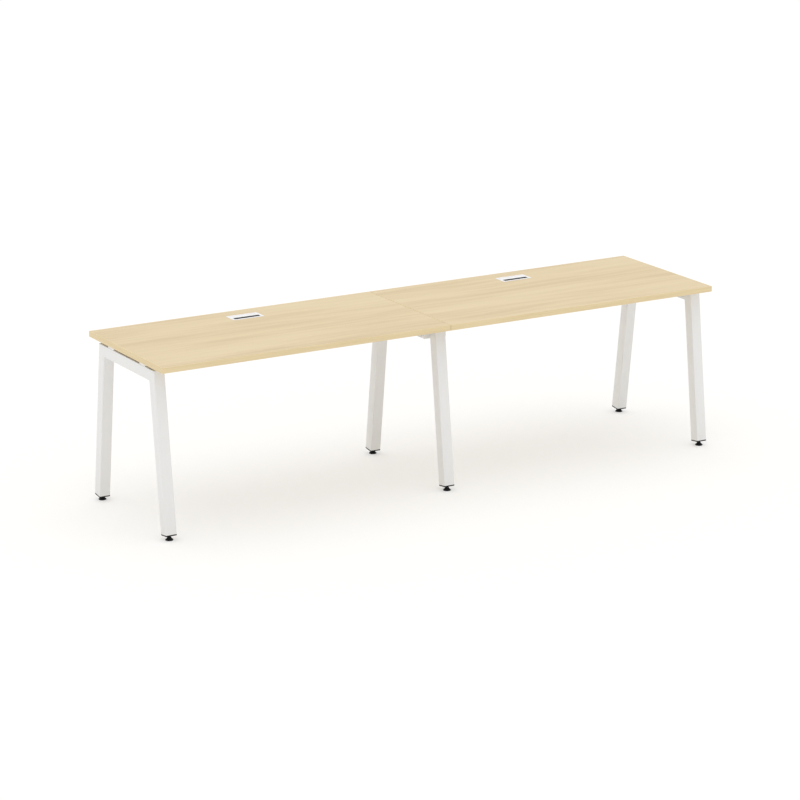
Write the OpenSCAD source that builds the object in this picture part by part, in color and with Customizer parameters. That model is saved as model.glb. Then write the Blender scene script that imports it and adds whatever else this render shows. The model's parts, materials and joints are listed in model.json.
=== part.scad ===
// Single-sided bench desk for two seats: two laminated desktops on three steel A-frames.
// Frame: X along the desk, -Y the sitting side, Z up. Origin on the floor under the desk's centre.

/* [Desktops] */
// Length of the whole desk, over both desktops
desk_l = 2760; // [2400:20:3200]
// Depth of the desktops, from front edge to rear edge
desk_d = 700; // [660:10:800]
// Height of the working surface above the floor
desk_h = 750; // [700:5:800]
// Thickness of each desktop
top_t = 25; // [22:1:30]
// Gap between the two desktops at the seam
seam_gap = 2; // [1:0.5:4]
// Thickness of the edge banding
band_t = 2; // [1:0.5:3]
// Rounding of the banding's two outer edges
band_r = 1.4; // [0.4:0.1:2]
// Width of the hairline joint between two banding strips at a corner
band_joint = 0.1; // [0.05:0.05:0.3]

/* [Frames] */
// Outside width of the square tube of legs and cross rails
tube_w = 50; // [44:1:56]
// Wall of the square tube
tube_wall = 2; // [1.5:0.5:3]
// Outside corner radius of the square tube
tube_r = 3; // [2:0.5:5]
// Lean of each leg from the vertical, in degrees
leg_lean = 7; // [4:0.5:10]
// Distance from the desktop's front or rear edge to the centre of a foot
foot_inset = 27; // [24:1:40]
// Distance from the desktop's end to the outside face of the end frame
frame_inset = 4; // [2:1:20]

/* [Side rails of the middle frame] */
// Width of the tube on each side of the middle cross rail
side_rail_w = 30; // [25:1:36]
// Diameter of the drain holes under a side rail
drain_d = 8; // [5:0.5:10]
// Distance from a side rail's end to its drain hole
drain_inset = 20; // [14:1:30]

/* [Pads between rail and desktop] */
// Height of the gap between cross rail and desktop
pad_h = 10; // [6:1:16]
// Width of a pad along the rail
pad_w = 54; // [40:1:70]
// Distance of a pad's sides from the sides of the rail
pad_set_back = 2; // [1:0.5:5]
// Diameter of the peg under a pad
peg_d = 8; // [6:0.5:10]
// Length of the peg under a pad
peg_l = 9; // [5:1:14]
// Corner radius of a pad
pad_r = 2; // [1:0.5:4]

/* [Beams] */
// Distance between the centres of the front and rear beams
beam_span = 300; // [220:10:330]
// Width of a beam's tube
beam_w = 30; // [25:1:36]
// Height of a beam's tube
beam_h = 40; // [30:1:44]
// Wall of a beam's tube
beam_wall = 2; // [1.5:0.5:3]
// Outside corner radius of a beam's tube
beam_r = 2.5; // [2:0.5:4]
// Thickness of a beam's end plate
plate_t = 5; // [4:0.5:8]
// Width of an end plate along the rail
plate_w = 84; // [80:1:96]
// Height of an end plate
plate_h = 42; // [36:1:44]
// Corner radius of an end plate
plate_r = 4; // [2:0.5:6]
// Distance between the two bolts of an end plate
bolt_pitch = 60; // [56:1:64]

/* [Fasteners] */
// Nominal diameter of the beam bolts
bolt_d = 8; // [6:1:9]
// Length of a beam bolt under its head
bolt_l = 16; // [15:1:18]
// Width of a beam bolt's hexagon across flats
bolt_af = 13; // [11:0.5:14]
// Height of a beam bolt's hexagon
bolt_head_h = 5.3; // [4:0.1:7]
// Diameter of the flange under a beam bolt's hexagon
bolt_flange_d = 17; // [16:0.5:20]
// Thickness of the flange under a beam bolt's hexagon
bolt_flange_t = 1.4; // [1:0.1:2]
// Thickness of the nut welded inside the rail
rail_nut_h = 6.5; // [5:0.5:8]
// Nominal diameter of the desktop screws
screw_d = 6; // [5:0.5:7]
// Depth that a desktop screw enters the desktop
screw_bite = 15; // [12:1:17]
// Diameter of a desktop screw's head
screw_head_d = 12; // [11:0.5:14]
// Height of a desktop screw's head
screw_head_h = 3.6; // [3:0.1:5]
// Width of the hexagon socket in a screw's head, across flats
screw_socket = 4; // [3:0.5:5]
// Depth of the hexagon socket in a screw's head
screw_socket_deep = 2.2; // [1.5:0.1:2.6]
// Distance between neighbouring desktop screws along a beam
screw_pitch = 480; // [300:10:520]
// Outside diameter of the spacer round a desktop screw
spacer_d = 20; // [16:1:24]
// Clearance all round a screw or bolt in a through hole
hole_gap = 0.3; // [0.2:0.1:0.8]

/* [Feet] */
// Gap along the leg between the foot screw's hexagon and the end cap
cap_gap = 1.2; // [1.1:0.1:12]
// Thickness of the end cap's plate
cap_t = 5.5; // [3:0.5:7]
// Depth of the end cap's plug inside the leg
plug_h = 18; // [14:1:26]
// Wall of the end cap's plug
plug_wall = 2.5; // [2:0.5:3.5]
// Clearance between the plug and the inside of the leg
plug_gap = 0.2; // [0.1:0.05:0.4]
// Diameter of the boss round the foot screw
boss_d = 27; // [25:0.5:30]
// Thickness of the ribs between boss and plug wall
rib_t = 2; // [1.5:0.5:3]
// Width of the end cap's steel nut across flats
cap_nut_af = 17; // [16:0.5:18]
// Thickness of the end cap's steel nut
cap_nut_h = 8; // [6:0.5:9]
// Nominal diameter of the foot screw
stem_d = 10; // [8:0.5:11]
// Length of the foot screw above the centre of its ball
stem_l = 56; // [50:1:64]
// Chamfer at the top of the foot screw
stem_chamfer = 1; // [0.5:0.1:1.5]
// Diameter of the ball at the lower end of the foot screw
ball_d = 12; // [11:0.5:12.5]
// Height of the ball's centre above the floor
ball_z = 8; // [7.5:0.1:8.5]
// Diameter of the neck between ball and hexagon
neck_d = 7; // [6:0.5:7.5]
// Width of the foot screw's hexagon across flats
hex_af = 14; // [12:0.5:15]
// Height of the foot screw's hexagon
hex_h = 3.2; // [2.5:0.1:3.6]
// Distance from the ball's centre to the hexagon
hex_rise = 7.7; // [7.6:0.1:8.2]
// Diameter of the foot pad on the floor
foot_d = 34; // [32:1:44]
// Height of the foot pad's straight rim
foot_rim = 3; // [2:0.5:4]
// Height of the foot pad
foot_h = 14; // [13:0.1:14]
// Diameter of the foot pad's upper end
foot_neck_d = 17; // [16:0.5:20]
// Diameter of the mouth above the ball's socket
socket_mouth_d = 9.8; // [9.6:0.1:10.4]
// Chamfer round the socket's mouth
socket_chamfer = 1; // [0.5:0.1:1.4]

/* [Cable ports] */
// Width of a port's rim along the desk
rim_w = 150; // [142:1:170]
// Depth of a port's rim, front to rear
rim_d = 76; // [72:1:90]
// Height of a port's rim above the desktop
rim_t = 1.5; // [1:0.1:2.4]
// Corner radius of a port's rim
rim_r = 5; // [3:0.5:8]
// Width of the opening inside the rim
mouth_w = 126; // [100:1:128]
// Depth of the opening inside the rim, front to rear
mouth_d = 56; // [50:1:58]
// Distance from the desktop's rear edge to the port's centre
port_back = 117; // [90:1:120]
// Wall of the port's sleeve inside the desktop
sleeve_wall = 3; // [2.5:0.5:4]
// Depth of the sleeve below the working surface
sleeve_h = 22; // [16:1:22]
// Clearance between the sleeve and the cut-out in the desktop
sleeve_gap = 0.5; // [0.2:0.1:1]
// Corner radius of the sleeve
sleeve_r = 4; // [3.5:0.5:6]
// Wall of the dark liner inside the sleeve
liner_t = 1.2; // [0.8:0.1:2]
// Depth of the cable slot in front of the lid
slot_d = 24; // [16:1:30]
// Thickness of the lid
lid_t = 2; // [1.5:0.1:2.4]
// Radius of the barrel along the lid's rear edge
barrel_r = 2.5; // [2.4:0.1:3]
// Gap between the lid and the ends of the opening
lid_gap = 0.5; // [0.3:0.1:1]
// Gap between the lid's barrel and the rear of the opening
barrel_gap = 0.8; // [0.8:0.1:1.5]
// Gap under the closed lid
rest_gap = 0.3; // [0.3:0.05:0.5]
// Diameter of a hinge pin
pin_d = 2.4; // [2:0.1:3]
// Depth of a hinge pin inside the barrel
pin_in = 8; // [5:0.5:12]
// Depth of a hinge pin inside the sleeve's wall
pin_out = 2; // [1:0.1:2]

/* [Fits] */
// Radial clearance of a shaft, pin, ball or thread in its bore
fit = 0.06; // [0.03:0.01:0.09]
// Clearance of a nut in its pocket
nut_gap = 0.1; // [0.05:0.05:0.2]

/* [Hidden] */

// Steps of a full circle on round edges and bores
round_fn = 48;
// Length by which a cutting shape runs past the face that it cuts
past = 1;
// Smallest radius of a tube's inside corner
least_inside_r = 0.4;
// Ends and sides of the desk
left = -1;
right = 1;
front = -1;
rear = 1;

// Levels
under_z = desk_h - top_t;
rail_top = under_z - pad_h;
rail_z = rail_top - tube_w / 2;
beam_top = rail_z + beam_h / 2;
spacer_h = under_z - beam_top;

// Frames and beams
end_x = desk_l / 2 - frame_inset - tube_w / 2;
frame_xs = [-end_x, 0, end_x];
foot_y = desk_d / 2 - foot_inset;
corner_y = foot_y - (rail_z - ball_z) * tan(leg_lean);
mitre = 45 - leg_lean / 2;
// Side rails run between the inner corners of the middle frame's mitres
side_rail_l = 2 * corner_y - tube_w * tan(mitre);
beam_y = beam_span / 2;
bay_l = end_x - tube_w - side_rail_w;
bay_x = (end_x + side_rail_w) / 2;
beam_l = bay_l - 2 * plate_t;

// Desktops
board_l = (desk_l - seam_gap) / 2;
board_x = (desk_l + seam_gap) / 4;
// Least thickness of the banding beside its rounding
band_flat = 0.2;
edge_r = min(band_r, band_t - band_flat);

// Legs and feet, measured along the leg from the ball's centre
cap_start = hex_rise + hex_h + cap_gap;
leg_start = cap_start + cap_t;
plug_top = leg_start + plug_h;
nut_start = plug_top - cap_nut_h;
// How strongly the foot pad's bell curves, where 1 is a straight cone
bell_curve = 1.6;
// Steps of the bell's outline
bell_steps = 7;
// Length of a leg's tube before its mitre is cut
leg_blank = rail_top;
// Side of the block that cuts a mitre
cutter = 4 * tube_w;

// Cable ports
port_y = desk_d / 2 - port_back;
rim_top = desk_h + rim_t;
sleeve_bottom = desk_h - sleeve_h;
sleeve_w = mouth_w + 2 * sleeve_wall;
sleeve_d = mouth_d + 2 * sleeve_wall;
mouth_front = port_y - mouth_d / 2;
mouth_rear = port_y + mouth_d / 2;
lid_front = mouth_front + slot_d;
hinge_y = mouth_rear - barrel_gap - barrel_r;
hinge_z = rim_top - barrel_r;
lid_w = mouth_w - 2 * lid_gap;
lid_under = rim_top - lid_t;

// A flat rectangle with round corners, centred on the origin
module round_rect(w, d, r) {
    square([w, d - 2 * r], center = true);
    square([w - 2 * r, d], center = true);
    for (sx = [-1, 1], sy = [-1, 1])
        translate([sx * (w / 2 - r), sy * (d / 2 - r)])
            circle(r = r, $fn = round_fn);
}

// Radius of a tube's inside corner
function inside_r(r, wall) = max(r - wall, least_inside_r);

// The section of a hollow tube with round corners
module tube_section(w, d, wall, r) {
    difference() {
        round_rect(w, d, r);
        round_rect(w - 2 * wall, d - 2 * wall, inside_r(r, wall));
    }
}

// A hexagon given by its width across flats
module hexagon(af) {
    circle(d = af / cos(30), $fn = 6);
}

// Places a shape whose length is along Z so that it lies along X
module along_x() {
    rotate([90, 0, 90])
        children();
}

// The leg's own place: Z runs up the leg from the centre of the foot's ball
module at_foot(x, side) {
    translate([x, side * foot_y, ball_z])
        rotate([side * leg_lean, 0, 0])
            children();
}

module at_every_foot() {
    for (x = frame_xs, side = [front, rear])
        at_foot(x, side)
            children();
}

// The space on one side of the mitre between cross rail and leg: way 1 is the leg's, -1 the rail's
module past_mitre(x, side, way) {
    translate([x, side * corner_y, rail_z])
        rotate([-side * mitre, 0, 0])
            translate([-cutter / 2, side * way < 0 ? -cutter : 0, -cutter / 2])
                cube(cutter);
}

// Desktops
module at_desktop_screws(side) {
    for (y = [-beam_y, beam_y], step = [-1, 0, 1])
        translate([side * bay_x + step * screw_pitch, y, 0])
            children();
}

module desktop(side) {
    color([0.90, 0.83, 0.69])
        difference() {
            translate([side * board_x, 0, under_z])
                linear_extrude(top_t)
                    square([board_l - 2 * band_t, desk_d - 2 * band_t], center = true);
            translate([side * board_x, port_y, under_z - past])
                linear_extrude(top_t + 2 * past)
                    round_rect(sleeve_w + 2 * sleeve_gap, sleeve_d + 2 * sleeve_gap, sleeve_r);
            at_desktop_screws(side)
                translate([0, 0, under_z - past])
                    cylinder(d = screw_d + 2 * fit, h = screw_bite + 2 * past, $fn = round_fn);
        }
}

// Section of a banding strip: Y points out of the desktop, X is up
module band_section() {
    intersection() {
        translate([0, -band_t])
            square([top_t, band_t]);
        union() {
            translate([0, -band_t])
                square([top_t, band_t - edge_r]);
            translate([edge_r, -band_t])
                square([top_t - 2 * edge_r, band_t]);
            for (up = [edge_r, top_t - edge_r])
                translate([up, -edge_r])
                    circle(r = edge_r, $fn = round_fn);
        }
    }
}

// A banding strip of length l, centred on the origin, facing -Y
module band_strip(l) {
    translate([-l / 2, 0, 0])
        rotate([90, 0, 90])
            linear_extrude(l)
                rotate(90)
                    band_section();
}

module edge_bands(side) {
    color([0.87, 0.79, 0.62])
        translate([side * board_x, 0, under_z]) {
            for (turn = [0, 180])
                rotate(turn)
                    translate([0, -desk_d / 2, 0])
                        band_strip(board_l);
            for (turn = [90, 270])
                rotate(turn)
                    translate([0, -board_l / 2, 0])
                        band_strip(desk_d - 2 * band_t - 2 * band_joint);
        }
}

// Frames
module leg(x, side) {
    color([0.93, 0.93, 0.92])
        difference() {
            at_foot(x, side)
                translate([0, 0, leg_start])
                    linear_extrude(leg_blank)
                        tube_section(tube_w, tube_w, tube_wall, tube_r);
            past_mitre(x, side, -1);
        }
}

// One hole through one wall of a rail for each beam bolt, where face_x is the wall's outer face
module bolt_holes(face_x) {
    for (y = [-beam_y, beam_y], step = [-1, 1])
        translate([face_x, y + step * bolt_pitch / 2, rail_z])
            along_x()
                cylinder(d = bolt_d + 2 * hole_gap, h = 2 * (tube_wall + past), center = true,
                         $fn = round_fn);
}

module cross_rail(x, faces) {
    color([0.93, 0.93, 0.92])
        difference() {
            translate([x, 0, rail_z])
                rotate([90, 0, 0])
                    linear_extrude(2 * (corner_y + tube_w), center = true)
                        tube_section(tube_w, tube_w, tube_wall, tube_r);
            for (side = [front, rear])
                past_mitre(x, side, 1);
            for (face = faces)
                bolt_holes(x + face * tube_w / 2);
            for (y = [-beam_y, beam_y])
                translate([x, y, rail_top - tube_wall - past])
                    cylinder(d = peg_d + 2 * fit, h = tube_wall + 2 * past, $fn = round_fn);
        }
}

// A closed tube along one side of the middle cross rail, which carries that side's beams
module side_rail(side) {
    color([0.93, 0.93, 0.92])
        translate([side * (tube_w + side_rail_w) / 2, 0, rail_z])
            difference() {
                rotate([90, 0, 0])
                    linear_extrude(side_rail_l, center = true)
                        round_rect(side_rail_w, tube_w, tube_r);
                rotate([90, 0, 0])
                    linear_extrude(side_rail_l - 2 * tube_wall, center = true)
                        round_rect(side_rail_w - 2 * tube_wall, tube_w - 2 * tube_wall,
                                   inside_r(tube_r, tube_wall));
                translate([-side * (tube_w + side_rail_w) / 2, 0, -rail_z])
                    bolt_holes(side * (tube_w / 2 + side_rail_w));
                for (y = [drain_inset - side_rail_l / 2, side_rail_l / 2 - drain_inset])
                    translate([0, y, -tube_w / 2 - past])
                        cylinder(d = drain_d, h = tube_wall + 2 * past, $fn = round_fn);
            }
}

// Pads that hold the desktops clear of the cross rails
module rail_pads() {
    color([0.95, 0.95, 0.94])
        for (x = frame_xs, y = [-beam_y, beam_y])
            translate([x, y, rail_top]) {
                linear_extrude(pad_h)
                    round_rect(tube_w - 2 * pad_set_back, pad_w, pad_r);
                translate([0, 0, -peg_l])
                    cylinder(d = peg_d, h = peg_l + pad_h / 2, $fn = round_fn);
            }
}

// Beams
module beam(end, side) {
    color([0.90, 0.90, 0.89])
        difference() {
            translate([end * bay_x - beam_l / 2, side * beam_y, rail_z])
                along_x()
                    linear_extrude(beam_l)
                        tube_section(beam_w, beam_h, beam_wall, beam_r);
            for (step = [-1, 0, 1])
                translate([end * bay_x + step * screw_pitch, side * beam_y,
                           rail_z - beam_h / 2 - past])
                    cylinder(d = screw_d + 2 * hole_gap, h = beam_h + 2 * past, $fn = round_fn);
        }
}

// The outer face of each end plate, with Z pointing into the beam
module at_end_plates() {
    for (end = [left, right], y = [-beam_y, beam_y], way = [-1, 1])
        translate([end * bay_x - way * bay_l / 2, y, rail_z])
            rotate([0, way * 90, 0])
                children();
}

module at_beam_bolts() {
    at_end_plates()
        for (step = [-1, 1])
            translate([0, step * bolt_pitch / 2, 0])
                children();
}

module beam_end_plates() {
    color([0.90, 0.90, 0.89])
        at_end_plates()
            linear_extrude(plate_t)
                difference() {
                    round_rect(plate_h, plate_w, plate_r);
                    for (step = [-1, 1])
                        translate([0, step * bolt_pitch / 2])
                            circle(d = bolt_d + 2 * hole_gap, $fn = round_fn);
                }
}

module beam_bolts() {
    color([0.72, 0.72, 0.74])
        at_beam_bolts() {
            translate([0, 0, plate_t - bolt_l])
                cylinder(d = bolt_d, h = bolt_l, $fn = round_fn);
            translate([0, 0, plate_t])
                cylinder(d = bolt_flange_d, h = bolt_flange_t, $fn = round_fn);
            translate([0, 0, plate_t])
                linear_extrude(bolt_flange_t + bolt_head_h)
                    hexagon(bolt_af);
        }
}

module rail_nuts() {
    color([0.70, 0.70, 0.72])
        at_beam_bolts()
            translate([0, 0, -tube_wall - rail_nut_h])
                linear_extrude(rail_nut_h)
                    difference() {
                        hexagon(bolt_af);
                        circle(d = bolt_d + 2 * fit, $fn = round_fn);
                    }
}

// Spacers and screws between beams and desktops
module beam_spacers() {
    color([0.95, 0.95, 0.94])
        for (end = [left, right])
            at_desktop_screws(end)
                translate([0, 0, beam_top])
                    linear_extrude(spacer_h)
                        difference() {
                            circle(d = spacer_d, $fn = round_fn);
                            circle(d = screw_d + 2 * hole_gap, $fn = round_fn);
                        }
}

module desktop_screws() {
    color([0.72, 0.72, 0.74])
        for (end = [left, right])
            at_desktop_screws(end)
                translate([0, 0, rail_z - beam_h / 2])
                    difference() {
                        union() {
                            cylinder(d = screw_d, h = beam_h + spacer_h + screw_bite, $fn = round_fn);
                            translate([0, 0, -screw_head_h])
                                cylinder(d = screw_head_d, h = screw_head_h, $fn = round_fn);
                        }
                        translate([0, 0, -screw_head_h - past])
                            linear_extrude(screw_socket_deep + past)
                                hexagon(screw_socket);
                    }
}

// End caps
module end_cap(x, side) {
    plug_w = tube_w - 2 * tube_wall - 2 * plug_gap;
    color([0.07, 0.07, 0.07])
        at_foot(x, side)
            difference() {
                union() {
                    translate([0, 0, cap_start])
                        linear_extrude(cap_t)
                            round_rect(tube_w, tube_w, tube_r);
                    translate([0, 0, leg_start])
                        linear_extrude(plug_h)
                            union() {
                                difference() {
                                    round_rect(plug_w, plug_w, inside_r(tube_r, tube_wall));
                                    square(plug_w - 2 * plug_wall, center = true);
                                }
                                circle(d = boss_d, $fn = round_fn);
                                square([plug_w - plug_wall, rib_t], center = true);
                                square([rib_t, plug_w - plug_wall], center = true);
                            }
                }
                translate([0, 0, cap_start - past])
                    cylinder(d = stem_d + 2 * hole_gap, h = cap_t + plug_h + 2 * past,
                             $fn = round_fn);
                translate([0, 0, nut_start])
                    linear_extrude(cap_nut_h + past)
                        hexagon(cap_nut_af + 2 * nut_gap);
            }
}

module end_cap_nuts() {
    color([0.70, 0.70, 0.72])
        at_every_foot()
            translate([0, 0, nut_start])
                linear_extrude(cap_nut_h)
                    difference() {
                        hexagon(cap_nut_af);
                        circle(d = stem_d + 2 * fit, $fn = round_fn);
                    }
}

// Feet
module foot_screw(x, side) {
    color([0.13, 0.13, 0.14])
        at_foot(x, side) {
            sphere(d = ball_d, $fn = round_fn);
            cylinder(d = neck_d, h = hex_rise + hex_h, $fn = round_fn);
            translate([0, 0, hex_rise])
                linear_extrude(hex_h)
                    hexagon(hex_af);
            translate([0, 0, hex_rise])
                cylinder(d = stem_d, h = stem_l - hex_rise - stem_chamfer, $fn = round_fn);
            translate([0, 0, stem_l - stem_chamfer])
                cylinder(d1 = stem_d, d2 = stem_d - 2 * stem_chamfer, h = stem_chamfer,
                         $fn = round_fn);
        }
}

// Radius of the bell between the rim, where up is 0, and the neck, where up is 1
function bell_radius(up) =
    foot_neck_d / 2 + (foot_d - foot_neck_d) / 2 * pow(1 - up, bell_curve);

module foot_pad(x, side) {
    color([0.06, 0.06, 0.06])
        translate([x, side * foot_y, 0])
            difference() {
                rotate_extrude($fn = round_fn)
                    polygon(concat(
                        [[0, 0], [foot_d / 2, 0]],
                        [for (i = [0:bell_steps])
                            [bell_radius(i / bell_steps),
                             foot_rim + (foot_h - foot_rim) * i / bell_steps]],
                        [[0, foot_h]]));
                translate([0, 0, ball_z])
                    sphere(d = ball_d + 2 * fit, $fn = round_fn);
                translate([0, 0, ball_z])
                    cylinder(d = socket_mouth_d, h = foot_h - ball_z + past, $fn = round_fn);
                translate([0, 0, foot_h - socket_chamfer])
                    cylinder(d1 = socket_mouth_d, d2 = socket_mouth_d + 4 * socket_chamfer,
                             h = 2 * socket_chamfer, $fn = round_fn);
            }
}

// Cable ports
module at_port(side) {
    translate([side * board_x, 0, 0])
        children();
}

module port_frame(side) {
    color([0.95, 0.95, 0.95])
        at_port(side)
            difference() {
                union() {
                    translate([0, port_y, desk_h])
                        linear_extrude(rim_t)
                            round_rect(rim_w, rim_d, rim_r);
                    translate([0, port_y, sleeve_bottom])
                        linear_extrude(sleeve_h)
                            round_rect(sleeve_w, sleeve_d, sleeve_r);
                }
                translate([0, port_y, sleeve_bottom - past])
                    linear_extrude(sleeve_h + rim_t + 2 * past)
                        square([mouth_w, mouth_d], center = true);
                translate([0, hinge_y, hinge_z])
                    along_x()
                        cylinder(d = pin_d + 2 * fit, h = mouth_w + 2 * pin_out + 2 * rest_gap,
                                 center = true, $fn = round_fn);
            }
}

module port_liner(side) {
    color([0.05, 0.05, 0.05])
        at_port(side)
            difference() {
                translate([0, port_y, sleeve_bottom])
                    linear_extrude(lid_under - rest_gap - sleeve_bottom)
                        difference() {
                            square([mouth_w, mouth_d], center = true);
                            square([mouth_w - 2 * liner_t, mouth_d - 2 * liner_t], center = true);
                        }
                translate([-mouth_w, hinge_y - barrel_r - lid_gap, hinge_z - barrel_r - lid_gap])
                    cube([2 * mouth_w, mouth_d, 2 * barrel_r + past]);
            }
}

// Section of the lid across its length: X is front to rear, Y is up, both from the hinge line
module lid_section() {
    translate([lid_front - hinge_y, lid_under - hinge_z])
        square([hinge_y - lid_front, lid_t]);
    circle(r = barrel_r, $fn = round_fn);
}

module port_lid(side) {
    color([0.97, 0.97, 0.97])
        at_port(side)
            translate([0, hinge_y, hinge_z])
                difference() {
                    translate([-lid_w / 2, 0, 0])
                        along_x()
                            linear_extrude(lid_w)
                                lid_section();
                    for (way = [-1, 1])
                        translate([way * lid_w / 2, 0, 0])
                            along_x()
                                cylinder(d = pin_d + 2 * fit, h = 2 * (pin_in + rest_gap),
                                         center = true, $fn = round_fn);
                }
}

module lid_pins(side) {
    color([0.75, 0.75, 0.77])
        at_port(side)
            for (way = [-1, 1])
                translate([way * (lid_w / 2 - pin_in), hinge_y, hinge_z])
                    rotate([0, way * 90, 0])
                        cylinder(d = pin_d, h = pin_in + lid_gap + pin_out, $fn = round_fn);
}

// The pieces by name
module left_desktop() { desktop(left); }
module right_desktop() { desktop(right); }
module left_edge_bands() { edge_bands(left); }
module right_edge_bands() { edge_bands(right); }
module left_front_leg() { leg(frame_xs[0], front); }
module left_rear_leg() { leg(frame_xs[0], rear); }
module middle_front_leg() { leg(frame_xs[1], front); }
module middle_rear_leg() { leg(frame_xs[1], rear); }
module right_front_leg() { leg(frame_xs[2], front); }
module right_rear_leg() { leg(frame_xs[2], rear); }
module left_cross_rail() { cross_rail(frame_xs[0], [right]); }
module middle_cross_rail() { cross_rail(frame_xs[1], []); }
module right_cross_rail() { cross_rail(frame_xs[2], [left]); }
module middle_left_side_rail() { side_rail(left); }
module middle_right_side_rail() { side_rail(right); }
module left_front_beam() { beam(left, front); }
module left_rear_beam() { beam(left, rear); }
module right_front_beam() { beam(right, front); }
module right_rear_beam() { beam(right, rear); }
module left_front_end_cap() { end_cap(frame_xs[0], front); }
module left_rear_end_cap() { end_cap(frame_xs[0], rear); }
module middle_front_end_cap() { end_cap(frame_xs[1], front); }
module middle_rear_end_cap() { end_cap(frame_xs[1], rear); }
module right_front_end_cap() { end_cap(frame_xs[2], front); }
module right_rear_end_cap() { end_cap(frame_xs[2], rear); }
module left_front_foot_screw() { foot_screw(frame_xs[0], front); }
module left_rear_foot_screw() { foot_screw(frame_xs[0], rear); }
module middle_front_foot_screw() { foot_screw(frame_xs[1], front); }
module middle_rear_foot_screw() { foot_screw(frame_xs[1], rear); }
module right_front_foot_screw() { foot_screw(frame_xs[2], front); }
module right_rear_foot_screw() { foot_screw(frame_xs[2], rear); }
module left_front_foot_pad() { foot_pad(frame_xs[0], front); }
module left_rear_foot_pad() { foot_pad(frame_xs[0], rear); }
module middle_front_foot_pad() { foot_pad(frame_xs[1], front); }
module middle_rear_foot_pad() { foot_pad(frame_xs[1], rear); }
module right_front_foot_pad() { foot_pad(frame_xs[2], front); }
module right_rear_foot_pad() { foot_pad(frame_xs[2], rear); }
module left_port_frame() { port_frame(left); }
module right_port_frame() { port_frame(right); }
module left_port_liner() { port_liner(left); }
module right_port_liner() { port_liner(right); }
module left_port_lid() { port_lid(left); }
module right_port_lid() { port_lid(right); }
module left_lid_pins() { lid_pins(left); }
module right_lid_pins() { lid_pins(right); }

left_desktop();
right_desktop();
left_edge_bands();
right_edge_bands();
left_front_leg();
left_rear_leg();
middle_front_leg();
middle_rear_leg();
right_front_leg();
right_rear_leg();
left_cross_rail();
middle_cross_rail();
right_cross_rail();
middle_left_side_rail();
middle_right_side_rail();
left_front_beam();
left_rear_beam();
right_front_beam();
right_rear_beam();
beam_end_plates();
beam_bolts();
rail_nuts();
rail_pads();
beam_spacers();
desktop_screws();
left_front_end_cap();
left_rear_end_cap();
middle_front_end_cap();
middle_rear_end_cap();
right_front_end_cap();
right_rear_end_cap();
end_cap_nuts();
left_front_foot_screw();
left_rear_foot_screw();
middle_front_foot_screw();
middle_rear_foot_screw();
right_front_foot_screw();
right_rear_foot_screw();
left_front_foot_pad();
left_rear_foot_pad();
middle_front_foot_pad();
middle_rear_foot_pad();
right_front_foot_pad();
right_rear_foot_pad();
left_port_frame();
right_port_frame();
left_port_liner();
right_port_liner();
left_port_lid();
right_port_lid();
left_lid_pins();
right_lid_pins();
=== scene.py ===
import json
import math

import bmesh
import bpy
import numpy as np
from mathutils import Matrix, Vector


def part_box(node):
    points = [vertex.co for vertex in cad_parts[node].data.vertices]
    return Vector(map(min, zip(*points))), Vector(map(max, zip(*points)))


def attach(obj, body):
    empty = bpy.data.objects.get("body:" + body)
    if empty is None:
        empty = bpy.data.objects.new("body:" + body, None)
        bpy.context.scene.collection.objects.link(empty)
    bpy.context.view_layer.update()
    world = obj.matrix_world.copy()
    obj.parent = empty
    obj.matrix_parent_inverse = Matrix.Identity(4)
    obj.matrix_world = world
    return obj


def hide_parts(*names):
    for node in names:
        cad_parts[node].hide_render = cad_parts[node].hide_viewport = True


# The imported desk, in metres: X runs along it, -Y is the sitting side and Z points up from the floor.
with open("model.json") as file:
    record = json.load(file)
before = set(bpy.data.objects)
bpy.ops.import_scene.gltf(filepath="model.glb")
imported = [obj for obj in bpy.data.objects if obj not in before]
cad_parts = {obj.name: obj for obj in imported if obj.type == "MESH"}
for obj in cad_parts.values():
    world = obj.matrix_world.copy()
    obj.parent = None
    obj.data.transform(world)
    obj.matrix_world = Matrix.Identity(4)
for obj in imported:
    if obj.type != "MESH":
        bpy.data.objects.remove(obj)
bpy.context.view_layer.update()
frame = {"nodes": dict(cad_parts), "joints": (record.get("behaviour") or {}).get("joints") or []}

bl_info = {
    "name": "Bench desk finish",
    "version": (1, 0, 0),
    "blender": (4, 5, 0),
    "location": "3D View > Sidebar > Bench desk",
    "description": "Finishes a bench desk in maple laminate, powder-coated steel and moulded plastic",
    "category": "Object",
}

MM = 0.001
TURN = 2 * np.pi
FRAMES = ("left", "middle", "right")
ENDS = ("front", "rear")
SIDES = ("left", "right")
FEET = [f"{frame_name}_{end}" for frame_name in FRAMES for end in ENDS]
JOINTS = {joint["name"]: joint for joint in frame["joints"]}

# Points nearer than SAME_POINT are merged, edges sharper than SHARP_EDGE are shaded sharp, and a
# turned piece usually has ROUND_STEPS points round it.
SAME_POINT = 2e-6
SHARP_EDGE = math.radians(32)
ROUND_STEPS = 48


# Settings

def length(name, description, default, low=0.0, high=1.0):
    """A length property in metres."""
    return bpy.props.FloatProperty(
        name=name, description=description, default=default, min=low, max=high,
        precision=5, subtype="DISTANCE", unit="LENGTH")


def share(name, description, default, low=0.0, high=1.0):
    """A plain number between two limits."""
    return bpy.props.FloatProperty(
        name=name, description=description, default=default, min=low, max=high, subtype="FACTOR")


def degrees(name, description, default):
    """An angle property, whose default is given in degrees."""
    return bpy.props.FloatProperty(
        name=name, description=description, default=math.radians(default),
        subtype="ANGLE", unit="ROTATION")


def colour(name, description, default):
    """A linear colour property."""
    return bpy.props.FloatVectorProperty(
        name=name, description=description, default=default, size=3, min=0.0, max=1.0,
        subtype="COLOR")


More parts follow.
